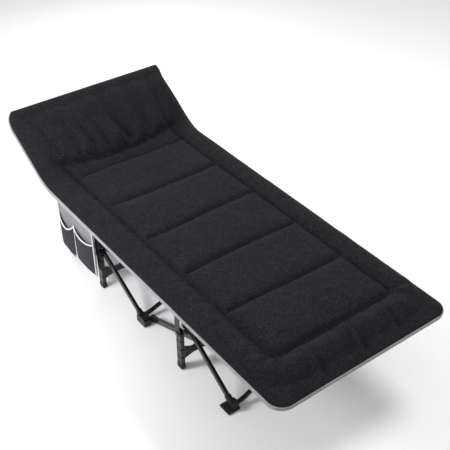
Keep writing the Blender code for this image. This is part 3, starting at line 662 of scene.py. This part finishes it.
def buildStitches():
    # short raised threads end to end along each sewn line
    vertices, faces = [], []
    for line in stitchLines():
        walked = [0.0]
        for first, second in zip(line, line[1:]):
            walked.append(walked[-1] + math.dist(first, second))
        at = 0.002
        while at + stitch["length"] < walked[-1]:
            ends = []
            for distance in (at, at + stitch["length"]):
                index = max(i for i, value in enumerate(walked) if value <= distance)
                share = (distance - walked[index]) / (walked[index + 1] - walked[index])
                ends.append(tuple(a + (b - a) * share for a, b in zip(line[index], line[index + 1])))
            (x1, y1), (x2, y2) = ends
            run = math.dist(*ends)
            side = Vector((y1 - y2, x2 - x1, 0)) / run * stitch["width"] / 2
            low = Vector((0, 0, -stitch["proud"] * 1.5))
            base = len(vertices)
            for x, y in ends:
                middle = placeOnMat(x, y)
                vertices += [middle + low - side, middle, middle + low + side]
            faces += [(base, base + 3, base + 4, base + 1), (base + 1, base + 4, base + 5, base + 2)]
            faces += [(base + 2, base + 5, base + 3, base), (base, base + 1, base + 2)]
            faces.append((base + 5, base + 4, base + 3))
            at += stitch["length"] + stitch["gap"]
    return makeObject("seamStitches", vertices, faces, seamThread, False)


def stitchHold(x, y, inward, isTop):
    # how firmly the cover is held: 1 on a sewn line, at the edge and underneath
    if not isTop or inward < 0.004:
        return 1.0
    ring = abs(cornerDistance(x, y))
    nearest = ring
    if abs(y) < seamY:
        nearest = min(ring, seamDistance(x, y))
    nearest = min(nearest, inward, abs(x - pillowBase(y)) + 0.004)
    return 1.0 - smoothStep((nearest - 0.003) / 0.020) * swelling["free"]


def swellCover(piece, holds):
    # cloth simulation: the padding pushes a slightly oversize cover out between its seams
    group = piece.vertex_groups.new(name="stitched")
    for index, hold in enumerate(holds):
        group.add([index], hold, "REPLACE")
    cloth = piece.modifiers.new("Cloth", "CLOTH")
    settings = cloth.settings
    settings.vertex_group_mass = group.name
    settings.quality = swelling["quality"]
    settings.mass = swelling["mass"]
    settings.tension_stiffness = swelling["stiffness"]
    settings.compression_stiffness = swelling["stiffness"]
    settings.bending_stiffness = swelling["bending"]
    settings.shrink_min = -swelling["spareCloth"]
    settings.use_pressure = True
    settings.uniform_pressure_force = swelling["pressure"]
    settings.effector_weights.gravity = 0.0
    cloth.collision_settings.use_collision = False
    cloth.point_cache.frame_start = 1
    cloth.point_cache.frame_end = swelling["frames"]
    before = [vertex.co.copy() for vertex in piece.data.vertices]
    for frameNumber in range(1, swelling["frames"] + 1):
        bpy.context.scene.frame_set(frameNumber)
    evaluated = piece.evaluated_get(bpy.context.evaluated_depsgraph_get())
    after = [vertex.co.copy() for vertex in evaluated.data.vertices]
    piece.modifiers.remove(cloth)
    piece.vertex_groups.clear()
    bpy.context.scene.frame_set(1)
    furthest = 0.0
    for vertex, start, end in zip(piece.data.vertices, before, after):
        shift = end - start
        furthest = max(furthest, shift.length)
        if shift.length > swelling["mostMove"]:
            shift *= swelling["mostMove"] / shift.length
        vertex.co = start + shift
    piece.data.update()
    return furthest


stitch = {"length": 0.0042, "gap": 0.0020, "width": 0.0014, "proud": 0.0007}
swelling = {
    "pressure": 3.0,
    "spareCloth": 0.004,
    "frames": 14,
    "quality": 5,
    "mass": 0.3,
    "stiffness": 25.0,
    "bending": 4.0,
    "mostMove": 0.0045,
    "free": 0.8,  # how much of the hold is let go in the middle of a panel
}
quiltedMat, matHolds = buildMat()
print("cover swelled, furthest move", round(swellCover(quiltedMat, matHolds), 4))
seamStitches = buildStitches()
print("mat built,", len(quiltedMat.data.vertices), "points")


def perimeter(inset, lift, step=0.009):
    # the mat's outline, round both rounded ends
    halfWidth = cotLine["width"] / 2 - inset
    low, high = headEdge + inset, footEdge - inset
    path = []

    def arc(centreX, centreY, radius, first, last):
        for index in range(9):
            turn = math.radians(first + (last - first) * index / 8)
            path.append((centreX + radius * math.cos(turn), centreY + radius * math.sin(turn)))

    def line(start, end):
        count = max(int(math.dist(start, end) / step), 1)
        for index in range(1, count):
            path.append(tuple(a + (b - a) * index / count for a, b in zip(start, end)))

    headR, footR = mat["headCorner"] - inset * 0.4, mat["footCorner"] - inset * 0.4
    arc(high - footR, halfWidth - footR, footR, 0, 90)
    line((high - footR, halfWidth), (low + headR, halfWidth))
    arc(low + headR, halfWidth - headR, headR, 90, 180)
    line((low, halfWidth - headR), (low, -halfWidth + headR))
    arc(low + headR, -halfWidth + headR, headR, 180, 270)
    line((low + headR, -halfWidth), (high - footR, -halfWidth))
    arc(high - footR, -halfWidth + footR, footR, 270, 360)
    line((high, -halfWidth + footR), (high, halfWidth - footR))
    return [overRails(x, y, edgeLift + lift) for x, y in path]


# a piped cord along the mat's edge, and a slightly thicker one below it
edging = {
    "cordRadius": 0.0040,
    "cordLift": -0.0052,
    "cordInset": 0.0012,
    "bandRadius": 0.0048,
    "bandLift": -0.0142,
    "bandInset": 0.0030,
}
cordPath = perimeter(edging["cordInset"], edging["cordLift"])
bandPath = perimeter(edging["bandInset"], edging["bandLift"])
edgeCord = tubeAlong("edgeCord", cordPath, edging["cordRadius"], greyCloth, closed=True)
edgeBand = tubeAlong("edgeBand", bandPath, edging["bandRadius"], greyCloth, closed=True)
print("edging built")


sling = {
    "thickness": 0.0022,
    "hem": 0.020,
    "halfWidth": 0.3282,
    "headEnd": -0.8615,
    "footEnd": 0.8665,
    "step": 0.0092,
    "aboveRail": 0.0018,
    "notchX": 0.025,
    "notchY": 0.276,
    "crossDivisions": 46,
    "spareLength": 1.02,  # an allowance on the flat length, not a measured one
}


def buildSling():
    # the sides turn down past the rails as hems, and a notch clears each middle hinge
    rows = int((sling["footEnd"] - sling["headEnd"]) / sling["step"]) + 1
    xs = [sling["headEnd"] + sling["step"] * index for index in range(rows)] + [sling["footEnd"]]
    half = sling["halfWidth"]
    hem = sling["hem"]
    flat = 2 * half - 0.012
    divisions = sling["crossDivisions"]
    section = [(-half, -hem), (-half, -hem * 0.5), (-half, -0.004), (-half + 0.002, -0.001)]
    section += [(-half + 0.006 + flat * index / divisions, 0.0) for index in range(divisions + 1)]
    section += [(half - 0.002, -0.001), (half, -0.004), (half, -hem * 0.5), (half, -hem)]
    base = cotLine["railRadius"] + sling["aboveRail"]
    vertices = [overRails(x, y, base + drop) for x in xs for y, drop in section]
    faces = []
    width = len(section)
    for row in range(len(xs) - 1):
        middle = (xs[row] + xs[row + 1]) / 2
        for index in range(width - 1):
            y = (section[index][0] + section[index + 1][0]) / 2
            if abs(middle - cotLine["hingeX"]) < sling["notchX"] and abs(y) > sling["notchY"]:
                continue
            first = row * width + index
            faces.append((first, first + width, first + width + 1, first + 1))
    made = makeObject("slingCloth", vertices, faces, greyCloth)
    thicken(made, sling["thickness"])
    area = sum(face.area for face in made.data.polygons)
    return made, area


slingCloth, slingArea = buildSling()
print("sling built, area", round(slingArea, 3))


bag = {
    "left": -0.578,
    "right": -0.292,
    "bottom": 0.072,
    "top": 0.322,
    "sewnAt": 0.343,
    "backY": -0.3365,
    "divider": -0.450,
    "bindingRadius": 0.0032,
    "upperLine": 0.289,
    "belly": 0.0125,
    "thickness": 0.0022,
}


def bagWave(x, z):
    # the back cloth hangs in slow waves
    return bag["backY"] - 0.0012 * math.sin(21 * x) * (1 - (z - bag["bottom"]) / 0.25)


def buildBagBack():
    vertices, faces = [], []
    columns, rows = 40, 34
    for row in range(rows + 1):
        for column in range(columns + 1):
            x = bag["left"] + (bag["right"] - bag["left"]) * column / columns
            z = bag["bottom"] + (bag["sewnAt"] - bag["bottom"]) * row / rows
            vertices.append(Vector((x, bagWave(x, z), z)))
    for row in range(rows):
        for column in range(columns):
            first = row * (columns + 1) + column
            faces.append((first, first + 1, first + columns + 2, first + columns + 1))
    made = makeObject("bagBack", vertices, faces, bagCloth)
    thicken(made, bag["thickness"])
    return made


def pocketTop(share, high, dip):
    return high - dip * math.sin(math.pi * share) ** 0.8


def buildPocket(name, left, right, high, dip, belly):
    vertices, faces = [], []
    columns, rows = 30, 24
    mouth = []
    for column in range(columns + 1):
        share = column / columns
        x = left + (right - left) * share
        top = pocketTop(share, high, dip)
        for row in range(rows + 1):
            rise = row / rows
            z = bag["bottom"] + 0.003 + (top - bag["bottom"] - 0.003) * rise
            across = math.sin(math.pi * share) ** 0.55
            full = belly * across * (0.25 + 0.75 * math.sin(math.pi * min(rise * 0.62 + 0.10, 1.0)))
            folds = 0.0016 * across * noise.noise(Vector((x * 55, z * 14, 2.0)))
            y = bag["backY"] - 0.0042 - full + folds
            vertices.append(Vector((x, y, z)))
            if row == rows:
                mouth.append(Vector((x, y - 0.0008, z)))
    for column in range(columns):
        for row in range(rows):
            first = column * (rows + 1) + row
            faces.append((first, first + rows + 1, first + rows + 2, first + 1))
    made = makeObject(name, vertices, faces, pocketCloth)
    thicken(made, bag["thickness"])
    binding = tubeAlong(name + "Binding", mouth, bag["bindingRadius"], whiteBinding)
    return made, binding


bagBack = buildBagBack()
left, middle, far = bag["left"] + 0.003, bag["divider"], bag["right"] - 0.003
pocketHead, pocketHeadBinding = buildPocket("pocketHead", left, middle, 0.232, 0.040, bag["belly"])
pocketFoot, pocketFootBinding = buildPocket("pocketFoot", middle, far, 0.230, 0.018, bag["belly"])


def straightLine(start, end, count=24):
    return [Vector(start).lerp(Vector(end), index / count) for index in range(count + 1)]


frontY = bag["backY"] - 0.0052
stripY = frontY + 0.002
lowLine = bag["bottom"] + 0.001
bindingEnds = {
    "bindingTop": ((bag["left"], stripY, bag["upperLine"]), (bag["right"], stripY, bag["upperLine"])),
    "bindingBottom": ((bag["left"], frontY, lowLine), (bag["right"], frontY, lowLine)),
    "bindingHead": ((bag["left"], frontY, bag["bottom"]), (bag["left"], frontY, bag["top"] - 0.004)),
    "bindingFoot": ((bag["right"], frontY, bag["bottom"]), (bag["right"], frontY, bag["top"] - 0.004)),
    "bindingMiddle": ((bag["divider"], frontY, bag["bottom"]), (bag["divider"], frontY, 0.236)),
}
bagBindings = []
for bindingName, (start, end) in bindingEnds.items():
    path = straightLine(start, end)
    bagBindings.append(tubeAlong(bindingName, path, bag["bindingRadius"], whiteBinding))
print("side bag built")


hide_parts("mat_head", "mat_foot", "pillow")
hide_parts("sling_head", "sling_foot")
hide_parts("side_bag")
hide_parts("pocket_head")
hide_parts("pocket_foot")
for piece in (quiltedMat, seamStitches, edgeCord, edgeBand):
    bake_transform(piece)
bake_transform(slingCloth)
bagTrim = [pocketHead, pocketFoot, pocketHeadBinding, pocketFootBinding] + bagBindings
for piece in [bagBack] + bagTrim:
    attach(piece, "head_half")


studio = {"worldStrength": 0.60, "keyPower": 60.0, "fillPower": 34.0, "sidePower": 16.0, "nearPower": 20.0}
floorCorners = [(-7, -7, 0), (7, -7, 0), (7, 7, 0), (-7, 7, 0)]
floorMesh = makeObject("studioFloor", floorCorners, [(0, 1, 2, 3)], greyCloth, False)
floorPaint, floorTree, floorShader, floorVector = startMaterial("studioPaint")
floorShader.inputs["Roughness"].default_value = 0.9
floorShader.inputs["Specular IOR Level"].default_value = 0.1
floorTone = stretchedNoise(floorTree, floorVector, (0.6, 0.6, 0.6), 2.0)
floorColor = mixColor(floorTree, floorTone, (0.90, 0.90, 0.90), (0.93, 0.93, 0.93))
floorTree.links.new(floorColor, floorShader.inputs["Base Color"])
floorMesh.data.materials[0] = floorPaint

world = bpy.data.worlds.new("softRoom")
bpy.context.scene.world = world
world.use_nodes = True
world.node_tree.nodes["Background"].inputs["Color"].default_value = (1.0, 1.0, 1.0, 1.0)
world.node_tree.nodes["Background"].inputs["Strength"].default_value = studio["worldStrength"]


def areaLight(name, place, target, size, power):
    lamp = bpy.data.lights.new(name, "AREA")
    lamp.shape = "DISK"
    lamp.size = size
    lamp.energy = power
    holder = bpy.data.objects.new(name, lamp)
    holder.location = place
    holder.rotation_euler = (Vector(target) - Vector(place)).to_track_quat("-Z", "Y").to_euler()
    bpy.context.scene.collection.objects.link(holder)


areaLight("keyLight", (0.7, 1.7, 3.2), (0.0, 0.0, 0.3), 1.2, studio["keyPower"])
areaLight("fillLight", (-1.2, -3.0, 1.9), (-0.3, 0.0, 0.4), 1.2, studio["fillPower"])
areaLight("sideLight", (-2.6, 1.2, 1.5), (-0.2, 0.0, 0.3), 0.9, studio["sidePower"])
areaLight("nearLight", (-0.2, -1.5, 1.25), (-0.8, -0.1, 0.45), 0.5, studio["nearPower"])

cameraFit = {
    "place": (2.18106, -1.50825, 2.35036),
    "yaw": math.radians(53.69),
    "pitch": math.radians(37.0),
    "roll": math.radians(-0.52),
    "lens": 68.98,
}
yaw, pitch, roll = cameraFit["yaw"], cameraFit["pitch"], cameraFit["roll"]
forward = Vector((-math.sin(yaw) * math.cos(pitch), math.cos(yaw) * math.cos(pitch), -math.sin(pitch)))
right = Vector((math.cos(yaw), math.sin(yaw), 0.0))
up = right.cross(forward)
rolledRight = right * math.cos(roll) + up * math.sin(roll)
rolledUp = rolledRight.cross(forward)
cameraData = bpy.data.cameras.new("studioCamera")
cameraData.lens = cameraFit["lens"]
cameraData.sensor_width = 36.0
cameraObject = bpy.data.objects.new("studioCamera", cameraData)
turn = Matrix((rolledRight, rolledUp, -forward)).transposed()
cameraObject.matrix_world = Matrix.Translation(cameraFit["place"]) @ turn.to_4x4()
bpy.context.scene.collection.objects.link(cameraObject)
bpy.context.scene.camera = cameraObject
bpy.context.scene.view_settings.view_transform = "Standard"
print("studio ready")
